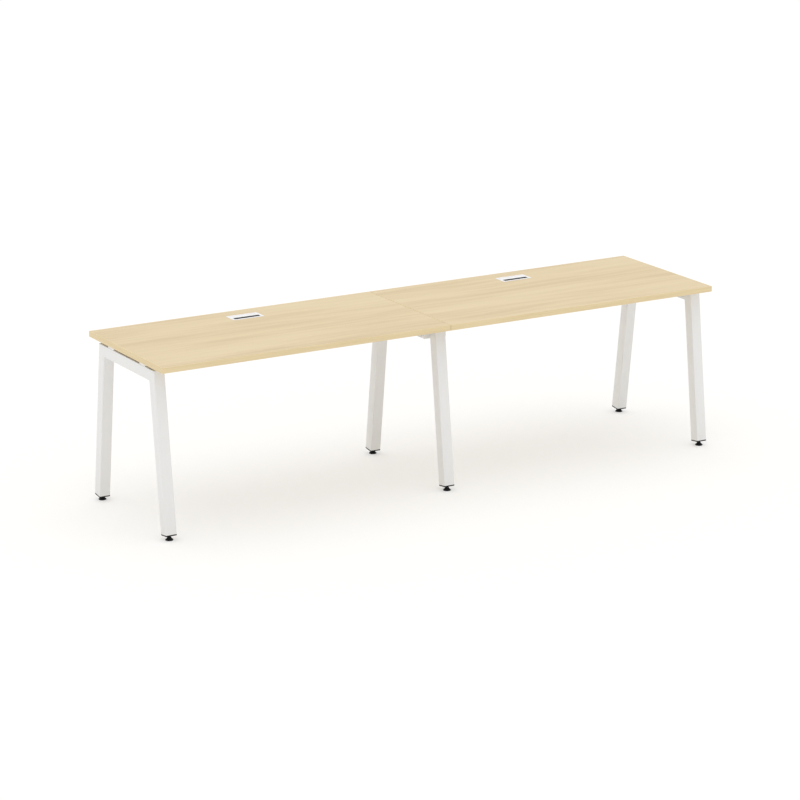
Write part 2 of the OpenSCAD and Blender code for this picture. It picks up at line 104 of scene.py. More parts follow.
class LaminateSettings(bpy.types.PropertyGroup):
    """Finish of the desktops and their edge banding."""

    maple: colour("Maple", "Ground colour of the laminate", (0.697, 0.558, 0.336))
    streak: colour("Streak", "Colour of the darker streaks", (0.616, 0.476, 0.269))
    pale: colour("Pale", "Colour of the palest wood", (0.731, 0.597, 0.371))
    banding: colour("Banding", "Ground colour of the edge banding", (0.800, 0.657, 0.404))
    banding_streak: colour("Banding streak", "Colour of the banding's darker lines",
                           (0.738, 0.588, 0.340))
    core: colour("Core", "Colour of the chipboard inside the cut-outs", (0.480, 0.350, 0.210))
    streak_length: length("Streak length", "Usual length of a streak", 0.62)
    streak_width: length("Streak width", "Usual width of a streak", 0.030)
    fibre_width: length("Fibre width", "Width of the printed fibres", 1.6 * MM)
    board_shift: length("Board shift", "How far the right board's print lies from the left's",
                        0.83, high=5.0)
    roughness: share("Roughness", "Roughness of the satin laminate", 0.46)


class SteelSettings(bpy.types.PropertyGroup):
    """Finish and welds of the frames and beams."""

    coat: colour("Powder coat", "Colour of the frames' powder coat", (0.822, 0.822, 0.820))
    # The beams' coat is the frames' white powder coat made a little darker and warmer, as painted
    # shade for their place under the desktop.
    shaded_beam_coat: colour("Beam coat", "Colour of the beams' powder coat", (0.800, 0.800, 0.795))
    zinc: colour("Zinc", "Colour of bolts, nuts and screws", (0.620, 0.620, 0.640))
    peel_size: length("Peel size", "Size of the powder coat's dimples", 1.4 * MM)
    peel_depth: length("Peel depth", "Depth of the powder coat's dimples", 0.012 * MM)
    seam_half_width: length("Seam half width", "Half the width of the ground weld at a mitre",
                            1.5 * MM)
    seam_edge_width: length("Seam edge width", "Half its width where it turns an edge", 0.5 * MM)
    seam_height: length("Seam height", "How far the ground weld stands proud", 0.22 * MM)
    bead_leg: length("Bead leg", "Leg of the fillet weld between beam and end plate", 2.6 * MM)
    bead_length: length("Bead length", "Length of that fillet weld", 32 * MM)
    bead_ripple: length("Bead ripple", "Distance between the weld's ripples", 1.7 * MM)
    bead_depth: share("Bead depth", "Share of the leg by which a ripple swells", 0.03)
    plate_edge: length("Plate edge", "Rounding of the end plates' edges", 0.4 * MM)


class FastenerSettings(bpy.types.PropertyGroup):
    """Sizes of bolts, screws, spacers and pads."""

    bolt_pitch: length("Bolt pitch", "Distance between the two bolts of an end plate", 60 * MM)
    bolt_d: length("Bolt diameter", "Nominal diameter of a beam bolt", 8 * MM)
    bolt_l: length("Bolt length", "Length of a beam bolt under its flange", 16 * MM)
    bolt_af: length("Bolt across flats", "Width of a beam bolt's hexagon", 13 * MM)
    bolt_head_h: length("Bolt hexagon height", "Height of a beam bolt's hexagon", 5.3 * MM)
    flange_d: length("Flange diameter", "Diameter of a beam bolt's flange", 17 * MM)
    flange_t: length("Flange thickness", "Thickness of a beam bolt's flange", 1.4 * MM)
    screw_d: length("Screw diameter", "Nominal diameter of a desktop screw", 6 * MM)
    screw_head_d: length("Screw head", "Diameter of a desktop screw's head", 12 * MM)
    screw_socket: length("Screw socket", "Hexagon socket of the head, across flats", 4 * MM)
    screw_socket_deep: length("Socket depth", "Depth of the hexagon socket", 2.2 * MM)
    spacer_d: length("Spacer diameter", "Outside diameter of a spacer", 20 * MM)
    spacer_bore: length("Spacer bore", "Diameter of a spacer's bore", 6.6 * MM)
    spacer_edge: length("Spacer edge", "Chamfer of a spacer", 0.5 * MM)
    pad_corner: length("Pad corner", "Corner radius of a rail pad", 2 * MM)
    pad_edge: length("Pad edge", "Rounding of a rail pad's edges", 0.8 * MM)
    peg_d: length("Peg diameter", "Diameter of the peg under a rail pad", 8 * MM)
    white_plastic: colour("White plastic", "Colour of spacers and rail pads",
                          (0.830, 0.830, 0.820))


class FootSettings(bpy.types.PropertyGroup):
    """Sizes and finish of end caps, foot screws and foot pads."""

    cap_corner: length("Cap corner", "Corner radius of an end cap", 3 * MM)
    cap_edge: length("Cap edge", "Rounding of an end cap's lower edge", 0.9 * MM)
    cap_recess: length("Cap recess", "Depth of the recess in an end cap's underside", 0.7 * MM)
    cap_rim: length("Cap rim", "Width of the rim round that recess", 3.2 * MM)
    cap_collar_d: length("Cap collar", "Diameter of the collar round the foot screw", 21 * MM)
    cap_bore: length("Cap bore", "Diameter of the hole for the foot screw", 10.6 * MM)
    plug_gap: length("Plug gap", "How far the plug is inset from the cap's sides", 2.2 * MM)
    plug_wall: length("Plug wall", "Wall of the plug inside the leg", 2.5 * MM)
    boss_d: length("Boss", "Diameter of the boss that holds the nut", 27 * MM)
    nut_pocket: length("Nut pocket", "Width of the nut's pocket across flats", 17.2 * MM)
    nut_h: length("Nut height", "Depth of the nut's pocket", 8 * MM)
    rib_t: length("Rib", "Thickness of the ribs beside the boss", 2 * MM)
    stem_d: length("Stem diameter", "Nominal diameter of the foot screw", 10 * MM)
    neck_d: length("Neck diameter", "Diameter of the neck above the ball", 7 * MM)
    hex_af: length("Hexagon", "Width of the foot screw's hexagon across flats", 14 * MM)
    hex_h: length("Hexagon height", "Height of the foot screw's hexagon", 3.2 * MM)
    hex_rise: length("Hexagon place", "Distance from the ball's centre to the hexagon", 7.7 * MM)
    pitch: length("Pitch", "Pitch of the foot screw's thread", 1.5 * MM)
    thread_depth: length("Thread depth", "Depth of the foot screw's thread", 0.81 * MM)
    pad_rim: length("Pad rim", "Height of the foot pad's straight rim", 3 * MM)
    pad_neck_d: length("Pad neck", "Diameter of the foot pad's upper end", 17 * MM)
    pad_mouth_d: length("Pad mouth", "Diameter of the mouth above the ball", 9.8 * MM)
    ball_gap: length("Ball gap", "Clearance round the ball in its socket", 0.06 * MM)
    black: colour("Black plastic", "Colour of end caps and foot pads", (0.009, 0.009, 0.010))
    shine: share("Shine", "Specular level of end caps and foot pads", 0.2)
    black_steel: colour("Black steel", "Colour of the foot screws", (0.045, 0.045, 0.050))


class PortSettings(bpy.types.PropertyGroup):
    """Sizes and finish of the two cable ports."""

    rim_corner: length("Rim corner", "Corner radius of the port's rim", 5 * MM)
    rim_t: length("Rim thickness", "Height of the rim above the desktop", 1.5 * MM)
    rim_edge: length("Rim edge", "Rounding of the rim's outer edge", 0.9 * MM)
    mouth_edge: length("Mouth edge", "Rounding of the rim's inner edge", 0.4 * MM)
    mouth_corner: length("Mouth corner", "Corner radius of the opening", 0.4 * MM)
    sleeve_wall: length("Sleeve wall", "Wall of the sleeve inside the desktop", 3 * MM)
    sleeve_corner: length("Sleeve corner", "Corner radius of the sleeve", 4 * MM)
    lid_t: length("Lid thickness", "Thickness of the lid", 2 * MM)
    barrel_r: length("Barrel radius", "Radius of the barrel along the hinge", 2.5 * MM)
    lid_edge: length("Lid edge", "Rounding of the lid's front and ends", 0.6 * MM)
    white: colour("Port white", "Colour of the port's rim and lid", (0.800, 0.800, 0.805))
    liner: colour("Liner", "Colour of the liner inside the port", (0.008, 0.008, 0.010))
    liner_shine: share("Liner shine", "Specular level of the liner", 0.2)


class StudioSettings(bpy.types.PropertyGroup):
    """Camera, floor and light."""

    azimuth: degrees("Azimuth", "Direction of the camera round the desk, 0 looks along +Y", -30.572)
    elevation: degrees("Elevation", "Angle of the camera above the horizon", 15.874)
    distance: length("Distance", "Distance from the camera to the aim point", 13.805, high=50.0)
    aim_right: length("Aim right", "How far right of the origin the camera aims", -0.0407,
                      low=-5.0, high=5.0)
    aim_up: length("Aim up", "How far above the origin the camera aims, across its view", 0.3174,
                   low=-5.0, high=5.0)
    lens: bpy.props.FloatProperty(
        name="Lens", description="Focal length in millimetres for a sensor 36 mm wide",
        default=139.52, min=10.0, max=500.0, unit="CAMERA")
    dome: share("Dome light", "Strength of the even light from all round", 0.83, high=5.0)
    lamp: share("Lamp", "Strength of the soft lamp overhead", 0.85, high=20.0)
    lamp_spread: degrees("Lamp spread", "Angle that the overhead lamp fills in the sky", 70)
    floor: colour("Floor", "Colour of the floor", (0.967, 0.955, 0.924))
    floor_glow: share("Floor glow", "Share of the floor that the camera sees as plain white", 0.45)
    floor_radius: length("Floor radius", "Radius of the round floor", 40.0, high=200.0)


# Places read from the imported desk

def node_points(node):
    """A CAD node's vertices as an array."""
    mesh = frame["nodes"][node].data
    points = np.empty(len(mesh.vertices) * 3)
    mesh.vertices.foreach_get("co", points)
    return points.reshape(-1, 3)


def leg_place(foot):
    """The centre of a foot's ball, and the leg's axes as columns: X along the desk, Z up the leg."""
    joint = JOINTS[f"{foot}_screw_turn"]
    up = -np.array(joint["axis"])
    along = np.array([1.0, 0.0, 0.0])
    return np.array(joint["pos_m"]), np.column_stack([along, np.cross(up, along), up])


def span_in(place, node):
    """Lowest and highest corner of a CAD node, measured in a place's own axes."""
    origin, axes = place
    local = (node_points(node) - origin) @ axes
    return local.min(0), local.max(0)


def upright(x, y, z):
    """A place whose axes are those of the desk."""
    return np.array([x, y, z]), np.eye(3)


def beam_boxes():
    """The lowest and highest corner of each beam."""
    return [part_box(f"{side}_{end}_beam") for side in SIDES for end in ENDS]


def beam_ends():
    """For each end of each beam, the middle of its end plate's outer face, the sign of X from that
    face into the beam, and the X at which the beam's tube starts."""
    plate_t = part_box("beam_end_plates")[1].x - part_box("right_front_beam")[1].x
    for lo, hi in beam_boxes():
        y, z = (lo.y + hi.y) / 2, (lo.z + hi.z) / 2
        yield np.array([lo.x - plate_t, y, z]), 1, lo.x
        yield np.array([hi.x + plate_t, y, z]), -1, hi.x


def facing_x(origin, way):
    """A place whose Z points along X, towards +X where way is 1 and -X where it is -1."""
    forward = np.array([way, 0.0, 0.0])
    across = np.array([0.0, 1.0, 0.0])
    return origin, np.column_stack([np.cross(across, forward), across, forward])


def desktop_screw_places(head_d):
    """Where the desktop screws meet the undersides of the beams."""
    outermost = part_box("desktop_screws")[1].x - head_d / 2
    for lo, hi in beam_boxes():
        middle = (lo.x + hi.x) / 2
        pitch = outermost - abs(middle)
        for step in (-1, 0, 1):
            yield np.array([middle + step * pitch, (lo.y + hi.y) / 2, lo.z])


# Outlines and surfaces

def rounded_outline(width, depth, radius, corner_steps=8, side_steps=6):
    """A rectangle with round corners, as points anticlockwise from its +X side: each corner is a
    quarter circle about its own centre, and points on a straight line join it to the next."""
    angle = np.arange(4)[:, None] * np.pi / 2 + np.linspace(0, np.pi / 2, corner_steps + 1)
    signs = np.array([[1, 1], [-1, 1], [-1, -1], [1, -1]])
    centres = signs * (np.array([width, depth]) / 2 - radius)
    corners = centres[:, None] + radius * np.stack([np.cos(angle), np.sin(angle)], axis=-1)
    along = np.linspace(0, 1, side_steps + 1)[1:-1, None]
    following = np.roll(corners[:, 0], -1, axis=0)[:, None]
    sides = corners[:, -1:] * (1 - along) + following * along
    return np.concatenate([corners, sides], axis=1).reshape(-1, 2)


def hexagon_radius(angle, across):
    """Distance from a hexagon's centre to its side: half its width across flats, divided by the
    cosine of the angle from the nearest flat's middle."""
    return across / 2 / np.cos(angle % (np.pi / 3) - np.pi / 6)


def circle_like(outline, radius):
    """A circle with a point at the same angle as each point of an outline."""
    angle = np.arctan2(outline[:, 1], outline[:, 0])
    return radius * np.column_stack([np.cos(angle), np.sin(angle)])


def hexagon_like(outline, across):
    """A hexagon with a point at the same angle as each point of an outline."""
    angle = np.arctan2(outline[:, 1], outline[:, 0])
    return circle_like(outline, hexagon_radius(angle, across)[:, None])


def stack(levels):
    """A grid with one row for each level, which is an outline and its height."""
    return np.stack([np.column_stack([outline, np.full(len(outline), height)])
                     for outline, height in levels])


def quarter_round(size, steps=4):
    """Inset and rise of points along a rounded edge, from the flat face to the side: size times
    one less the sine, and size times one less the cosine, of an angle from 0 to a quarter turn."""
    angle = np.linspace(0, np.pi / 2, steps + 1)
    return size * (1 - np.sin(angle)), size * (1 - np.cos(angle))


def polar(radius, height, angle):
    """A grid of points from radii and heights about Z, row by row, at the same angles in each."""
    radius, height, angle = np.broadcast_arrays(radius, height, angle)
    return np.stack([radius * np.cos(angle), radius * np.sin(angle), height], axis=-1)


def round_angles(steps):
    """Equal steps round a circle."""
    return np.linspace(0, TURN, steps, endpoint=False)


def lathe(profile, steps=ROUND_STEPS):
    """A profile of (radius, height) pairs turned about Z."""
    profile = np.array(profile, float)
    return polar(profile[:, :1], profile[:, 1:], round_angles(steps))


def skin(grid, ring=False, open_ends=False):
    """The surface through a grid of points, as its points and arrays of faces. Columns go round and
    meet, and with ring the rows meet too. Otherwise a fan of triangles to its middle closes each
    end row, and with open_ends the end rows stay as they are."""
    rows, columns = grid.shape[:2]
    index = np.arange(rows * columns).reshape(rows, columns)
    lower, upper = (index, np.roll(index, -1, axis=0)) if ring else (index[:-1], index[1:])
    quads = np.stack([lower, np.roll(lower, -1, axis=1), np.roll(upper, -1, axis=1), upper], -1)
    points, faces = grid.reshape(-1, 3), [quads.reshape(-1, 4)]
    if not (ring or open_ends):
        middles = grid[[0, -1]].mean(axis=1)
        for end, row in enumerate((index[0], index[-1][::-1])):
            middle = np.full(columns, len(points) + end)
            faces.append(np.stack([np.roll(row, -1), row, middle], -1))
        points = np.concatenate([points, middles])
    return points, faces


def carry(shape, place):
    """A surface moved from a place's own axes to the desk's."""
    points, faces = shape
    origin, axes = place
    return origin + points @ axes.T, faces


def rounded_block(width, depth, corner, bottom, top, edge):
    """A block with round corners and quarter-round upper and lower edges, as a closed surface."""
    inset, rise = quarter_round(edge)
    outlines = [rounded_outline(width - 2 * i, depth - 2 * i, corner - min(i, corner / 2))
                for i in inset]
    lower = list(zip(outlines, bottom + rise))
    upper = list(zip(outlines, top - rise))[::-1]
    return skin(stack(lower + upper))


def thread_radius(angle, height, pitch, major, depth):
    """Radius of a right-hand metric thread. A point's place across the ridge is its height in
    pitches less its share of a turn: the crest is flat for an eighth of the pitch and the root
    for a quarter, and the flanks between them are straight."""
    crest, root = 0.125, 0.25
    across = np.abs(2 * ((height / pitch - angle / TURN) % 1.0) - 1)
    return major - depth * (1 - np.clip((across - root) / (1 - crest - root), 0, 1))


def chamfered_hexagon(angle, height, bottom, top, across):
    """Radius of a hexagon whose ends are turned to a cone of 30 degrees: the smaller of the
    hexagon's own radius and the cone's, which grows from just inside the flats."""
    inside, cone = 0.97 * across / 2, math.radians(30)
    from_end = np.minimum(height - bottom, top - height)
    return np.minimum(hexagon_radius(angle, across), inside + from_end / math.tan(cone))


# Making objects

def merge_points(mesh, then):
    """Merges a mesh's doubled points, and does one thing more to the merged mesh."""
    work = bmesh.new()
    work.from_mesh(mesh)
    bmesh.ops.remove_doubles(work, verts=work.verts, dist=SAME_POINT)
    then(work)
    work.to_mesh(mesh)
    work.free()


def new_mesh(name, shapes):
    """One mesh from surfaces, with its faces turned outwards and shaded smooth between sharp edges."""
    points, faces, count = [], [], 0
    for shape_points, shape_faces in shapes:
        points.append(shape_points)
        for block in shape_faces:
            faces += (block + count).tolist()
        count += len(shape_points)
    mesh = bpy.data.meshes.new(name)
    mesh.from_pydata(np.concatenate(points), [], faces)
    merge_points(mesh, lambda work: bmesh.ops.recalc_face_normals(work, faces=work.faces))
    mesh.shade_smooth()
    mesh.set_sharp_from_angle(angle=SHARP_EDGE)
    return mesh


def place_in_scene(name, data):
    """A new object in the scene."""
    made = bpy.data.objects.new(name, data)
    bpy.context.scene.collection.objects.link(made)
    return made


def make_piece(name, shapes, body, material, replaces=()):
    """One object from closed surfaces that are in the desk's axes."""
    add_piece(name, new_mesh(name, shapes), body, material, replaces)


def add_piece(name, mesh, body, material, replaces=()):
    """Adds a finished mesh to the scene, riding on its body."""
    piece = place_in_scene(name, mesh)
    mesh.materials.clear()
    mesh.materials.append(material)
    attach(piece, body)
    if replaces:
        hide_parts(*replaces)
    weight = piece.modifiers.new("Even shading", "WEIGHTED_NORMAL")
    weight.keep_sharp = True
    return piece


def dress(node, material):
    """Gives a CAD node that keeps its own mesh its finish."""
    materials = frame["nodes"][node].data.materials
    materials.clear()
    materials.append(material)


def softened_copy(node, body, material, edge):
    """A merged copy of a CAD node whose sharp edges are rounded, which stands for the node."""
    nearly_flat, sharp = math.radians(0.5), math.radians(50)
    name = f"{node}_softened"
    mesh = frame["nodes"][node].data.copy()
    mesh.name = name
    merge_points(mesh, lambda work: bmesh.ops.dissolve_limit(
        work, angle_limit=nearly_flat, verts=work.verts, edges=work.edges))
    if "custom_normal" in mesh.attributes:
        mesh.attributes.remove(mesh.attributes["custom_normal"])
    mesh.shade_smooth()
    piece = add_piece(name, mesh, body, material, [node])
    bevel = piece.modifiers.new("Soft edges", "BEVEL")
    bevel.width = edge
    bevel.segments = 2
    bevel.limit_method = "ANGLE"
    bevel.angle_limit = sharp
    bevel.use_clamp_overlap = True
    piece.modifiers.move(1, 0)


# Finishes

class Nodes:
    """A node tree, and short ways of adding to it."""

    def __init__(self, tree):
        self.tree = tree

    def give(self, socket, value):
        """Links a node's output to an input, or writes a number, vector or colour on it."""
        if isinstance(value, bpy.types.NodeSocket):
            self.tree.links.new(value, socket)
        else:
            socket.default_value = (*value, 1.0) if socket.type == "RGBA" else value

    def add(self, kind, inputs=(), **settings):
        """A node with its settings and, by name or number, what its inputs are given."""
        made = self.tree.nodes.new(kind)
        for key, value in settings.items():
            setattr(made, key, value)
        for socket, value in dict(inputs).items():
            self.give(made.inputs[socket], value)
        return made

    def maths(self, operation, first, second=0.0):
        """The result of a Math node."""
        return self.add("ShaderNodeMath", {0: first, 1: second}, operation=operation).outputs[0]


class Finish(Nodes):
    """A material: one Principled shader and the nodes that feed it."""

    def __init__(self, name, **values):
        self.material = bpy.data.materials.new(name)
        self.material.use_nodes = True
        super().__init__(self.material.node_tree)
        self.shader = self.tree.nodes["Principled BSDF"]
        for socket, value in values.items():
            self.feed(socket.replace("_", " "), value)
        self.place = self.add("ShaderNodeTexCoord").outputs["Object"]

    def feed(self, socket, value):
        """Gives the shader's own input a link or a value."""
        self.give(self.shader.inputs[socket], value)

    def split(self, vector):
        """A vector's X, Y and Z."""
        return self.add("ShaderNodeSeparateXYZ", {0: vector}).outputs

    def join(self, x, y, z):
        """A vector from its X, Y and Z."""
        return self.add("ShaderNodeCombineXYZ", {0: x, 1: y, 2: z}).outputs[0]

    def noise(self, size, place=None, detail=2.0, roughness=0.5, distortion=0.0):
        """Noise from 0 to 1 whose usual feature measures size, in metres along X, Y and Z."""
        mapping = self.add("ShaderNodeMapping", {
            "Vector": self.place if place is None else place,
            "Scale": [1 / one for one in size]})
        return self.add("ShaderNodeTexNoise", {
            "Vector": mapping.outputs[0], "Scale": 1.0, "Detail": detail,
            "Roughness": roughness, "Distortion": distortion}).outputs["Fac"]

    def spread(self, value, low, high, to_low=0.0, to_high=1.0):
        """A value carried from one range to another and held there."""
        return self.add("ShaderNodeMapRange", {
            "Value": value, "From Min": low, "From Max": high,
            "To Min": to_low, "To Max": to_high}).outputs[0]

    def blend(self, factor, first, second):
        """One colour turning into another as the factor goes from 0 to 1."""
        made = self.add("ShaderNodeMix", {"Factor": factor}, data_type="RGBA")
        colours = [socket for socket in made.inputs if socket.type == "RGBA"]
        for socket, value in zip(colours, (first, second)):
            self.give(socket, value)
        return next(socket for socket in made.outputs if socket.type == "RGBA")

    def bump(self, height, depth, under=None):
        """A relief of that depth in metres, over another relief where one is given."""
        inputs = {"Height": height, "Distance": depth, "Strength": 1.0}
        if under is not None:
            inputs["Normal"] = under
        return self.add("ShaderNodeBump", inputs).outputs[0]

    def facing(self, axis):
        """How squarely the surface faces along X, Y or Z, from 0 to 1."""
        normal = self.add("ShaderNodeNewGeometry").outputs["Normal"]
        return self.maths("ABSOLUTE", self.split(normal)[axis])


def maple_laminate(look):
    """Printed maple: long streaks that sway along the board, finer figure and fibres over them, and
    chipboard where the surface turns down into a cut-out."""
    finish = Finish("maple_laminate")
    swing, chip_size, chip_height, grit_size = 30 * MM, 3.5 * MM, 1.2 * MM, 0.5 * MM
    fibre_relief, grit_relief = 0.030 * MM, 0.006 * MM
    x, y, z = finish.split(finish.place)
    shift = finish.maths("MULTIPLY", finish.maths("GREATER_THAN", x, 0.0), look.board_shift)
    sway = finish.spread(finish.noise((1.1, 0.35, 1.0)), 0.2, 0.8, -swing, swing)
    across = finish.maths("ADD", finish.maths("ADD", y, shift), sway)
    print_place = finish.join(x, across, z)
    long, wide = look.streak_length, look.streak_width
    streak = finish.noise((long, wide, 1.0), print_place, detail=3.0, roughness=0.55)
    cloud = finish.noise((long * 1.3, wide * 5, 1.0), print_place, detail=1.0)
    figure = finish.noise((long / 3, wide / 4, 1.0), print_place, detail=3.0)
    fibre = finish.noise((0.035, look.fibre_width, 1.0), print_place, detail=3.0, roughness=0.65)
    tone = finish.blend(finish.spread(streak, 0.34, 0.60), look.streak, look.maple)
    tone = finish.blend(finish.spread(cloud, 0.42, 0.72, 0.0, 0.75), tone, look.pale)
    tone = finish.blend(finish.spread(figure, 0.58, 0.74, 0.0, 0.38), tone, look.streak)
    tone = finish.blend(finish.spread(fibre, 0.54, 0.72, 0.0, 0.34), tone, look.streak)
    chips = finish.noise((chip_size, chip_size, chip_height))
    pale_chip = [min(1.0, part * 1.45) for part in look.core]
    core = finish.blend(finish.spread(chips, 0.4, 0.62), look.core, pale_chip)
    flat = finish.spread(finish.facing(2), 0.5, 0.6)
    finish.feed("Base Color", finish.blend(flat, core, tone))
    finish.feed("Roughness", finish.spread(fibre, 0.3, 0.7, look.roughness - 0.05,
                                           look.roughness + 0.06))
    grit = finish.noise((grit_size,) * 3, detail=1.0)
    finish.feed("Normal", finish.bump(fibre, fibre_relief, finish.bump(grit, grit_relief)))
    return finish.material


def maple_banding(look):
    """Edge banding printed with lines that run along the strip: along Y on the desk's ends, which
    face X and have a print of their own, and along X on its front and rear."""
    finish = Finish("maple_banding")
    line_width, fibre_width, fibre_relief, own_print = 4.0 * MM, 0.8 * MM, 0.02 * MM, 3.0
    x, y, z = finish.split(finish.place)
    turned = finish.spread(finish.facing(0), 0.5, 0.6)
    still = finish.maths("SUBTRACT", 1.0, turned)
    along = finish.maths("ADD", finish.maths("MULTIPLY", y, turned),
                         finish.maths("MULTIPLY", x, still))
    place = finish.join(along, z, finish.maths("MULTIPLY", turned, own_print))
    line = finish.noise((0.30, line_width, 1.0), place, detail=3.0, roughness=0.6)
    fibre = finish.noise((0.03, fibre_width, 1.0), place, roughness=0.6)
    tone = finish.blend(finish.spread(line, 0.38, 0.64), look.banding_streak, look.banding)
    tone = finish.blend(finish.spread(fibre, 0.55, 0.75, 0.0, 0.4), tone, look.banding_streak)
    finish.feed("Base Color", tone)
    finish.feed("Roughness", finish.spread(fibre, 0.3, 0.7, 0.40, 0.50))
    finish.feed("Normal", finish.bump(fibre, fibre_relief))
    return finish.material


def powder_coat(name, tint, steel):
    """Powder coat: fine round dimples, a slow change of gloss, and a trace of dust low down."""
    finish = Finish(name)
    grain_size, patch = 0.35 * MM, 160 * MM
    clean_above, dusty_below, dust_share = 160 * MM, 20 * MM, 0.35
    peel = finish.noise((steel.peel_size,) * 3, detail=1.5)
    grain = finish.noise((grain_size,) * 3, detail=1.0)
    slow = finish.noise((patch,) * 3)
    low = finish.spread(finish.split(finish.place)[2], clean_above, dusty_below)
    dusty = finish.maths("MULTIPLY", low, finish.spread(slow, 0.3, 0.7))
    dust = [part * shade for part, shade in zip(tint, (0.90, 0.885, 0.86))]
    worn = [part * 0.965 for part in tint]
    tone = finish.blend(finish.spread(slow, 0.3, 0.7, 0.0, 0.30), tint, worn)
    finish.feed("Base Color", finish.blend(finish.maths("MULTIPLY", dusty, dust_share), tone, dust))
    finish.feed("Roughness", finish.spread(slow, 0.25, 0.75, 0.36, 0.48))
    finish.feed("Normal", finish.bump(peel, steel.peel_depth,
                                      finish.bump(grain, steel.peel_depth / 3)))
    return finish.material


def moulded_plastic(name, tint, roughness, grain_size=0.45 * MM, grain_depth=0.012 * MM, shine=0.5):
    """Moulded plastic: an even spark-eroded grain, and a slow change of gloss."""
    finish = Finish(name, Specular_IOR_Level=shine)
    patch = 30 * MM
    grain = finish.noise((grain_size,) * 3, roughness=0.6)
    slow = finish.noise((patch,) * 3)
    rubbed = [min(1.0, part * 1.12 + 0.004) for part in tint]
    finish.feed("Base Color", finish.blend(finish.spread(slow, 0.35, 0.7, 0.0, 0.7), tint, rubbed))
    finish.feed("Roughness", finish.spread(slow, 0.25, 0.75, roughness - 0.06, roughness + 0.06))
    finish.feed("Normal", finish.bump(grain, grain_depth))
    return finish.material


def plated_steel(name, tint, roughness, patch=2.5 * MM):
    """Plated steel: crystals a few millimetres wide that differ a little in colour and gloss."""
    finish = Finish(name, Metallic=1.0)
    scratch_width, scratch_length, scratch_depth = 0.25 * MM, 4 * MM, 0.004 * MM
    crystals = finish.noise((patch,) * 3, detail=3.0, roughness=0.6, distortion=0.6)
    scratches = finish.noise((scratch_width, scratch_width, scratch_length))
    dull = [part * 0.78 for part in tint]
    finish.feed("Base Color", finish.blend(finish.spread(crystals, 0.35, 0.65), dull, tint))
    finish.feed("Roughness", finish.spread(crystals, 0.3, 0.7, roughness + 0.10, roughness - 0.06))
    finish.feed("Normal", finish.bump(scratches, scratch_depth))
    return finish.material


def turned_steel(name, tint):
    """Bright drawn pin: fine rings round X."""
    finish = Finish(name, Metallic=1.0)
    ring_width, ring_length, ring_depth = 0.18 * MM, 8 * MM, 0.003 * MM
    rings = finish.noise((ring_width, ring_length, ring_length))
    finish.feed("Base Color", finish.blend(rings, [part * 0.85 for part in tint], tint))
    finish.feed("Roughness", finish.spread(rings, 0.3, 0.7, 0.22, 0.38))
    finish.feed("Normal", finish.bump(rings, ring_depth))
    return finish.material


# Desktops

class BENCHDESK_OT_desktops(bpy.types.Operator):
    """Finish both desktops and their edge banding."""

    bl_idname = "benchdesk.desktops"
    bl_label = "Desktops"

    def execute(self, context):
        look = context.scene.benchdesk_laminate
        laminate, banding = maple_laminate(look), maple_banding(look)
        for side in SIDES:
            dress(f"{side}_desktop", laminate)
            dress(f"{side}_edge_bands", banding)
        return {"FINISHED"}


# Frames

def mitre_seam(frame_name, side, steel):
    """The ground weld round one mitre: a low ellipse carried along the line where leg and rail meet.
    That line is the tube's outline, moved outwards along Y by its height from the rail's middle
    times the tangent of the mitre. The ellipse is wide on the flat sides and narrow on the edges."""
    lo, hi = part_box(f"{frame_name}_cross_rail")
    tube, tube_corner = hi.z - lo.z, 3 * MM
    up = leg_place(f"{frame_name}_{'front' if side < 0 else 'rear'}")[1][:, 2]
    mitre = (np.pi / 2 - math.atan2(abs(up[1]), up[2])) / 2
    slope = math.tan(mitre)
    corner = hi.y - tube / 2 * slope
    outline = rounded_outline(tube, tube, tube_corner, corner_steps=6, side_steps=10)
    ahead = np.roll(outline, -1, axis=0) - np.roll(outline, 1, axis=0)
    outward = np.column_stack([ahead[:, 1], -ahead[:, 0]])
    outward /= np.linalg.norm(outward, axis=1)[:, None]
    middle = np.array([(lo.x + hi.x) / 2, 0.0, (lo.z + hi.z) / 2])
    across, height = outline.T
    path = middle + np.column_stack([across, side * (corner + height * slope), height])
    proud = np.column_stack([outward[:, 0], side * outward[:, 1] * slope, outward[:, 1]])
    proud /= np.linalg.norm(proud, axis=1)[:, None]
    along_wall = np.array([0.0, side * math.cos(mitre), -math.sin(mitre)])
    flatness = np.abs(outward[:, :1]) ** 4
    half_width = steel.seam_edge_width + flatness * (steel.seam_half_width - steel.seam_edge_width)
    turn = round_angles(12)[:, None, None]
    grid = (path + np.cos(turn) * steel.seam_height * proud
            + np.sin(turn) * half_width * along_wall)
    return skin(grid, ring=True)


class BENCHDESK_OT_frames(bpy.types.Operator):
    """Finish the three frames: legs, cross rails, side rails and the ground welds at the mitres."""

    bl_idname = "benchdesk.frames"
    bl_label = "Frames"

    def execute(self, context):
        steel = context.scene.benchdesk_steel
        coat = powder_coat("powder_coat_white", steel.coat, steel)
        for foot in FEET:
            dress(f"{foot}_leg", coat)
        for frame_name in FRAMES:
            dress(f"{frame_name}_cross_rail", coat)
            seams = [mitre_seam(frame_name, side, steel) for side in (-1, 1)]
            make_piece(f"{frame_name}_mitre_seams", seams, "desk", coat)
        for side in SIDES:
            dress(f"middle_{side}_side_rail", coat)
        return {"FINISHED"}


# Beams

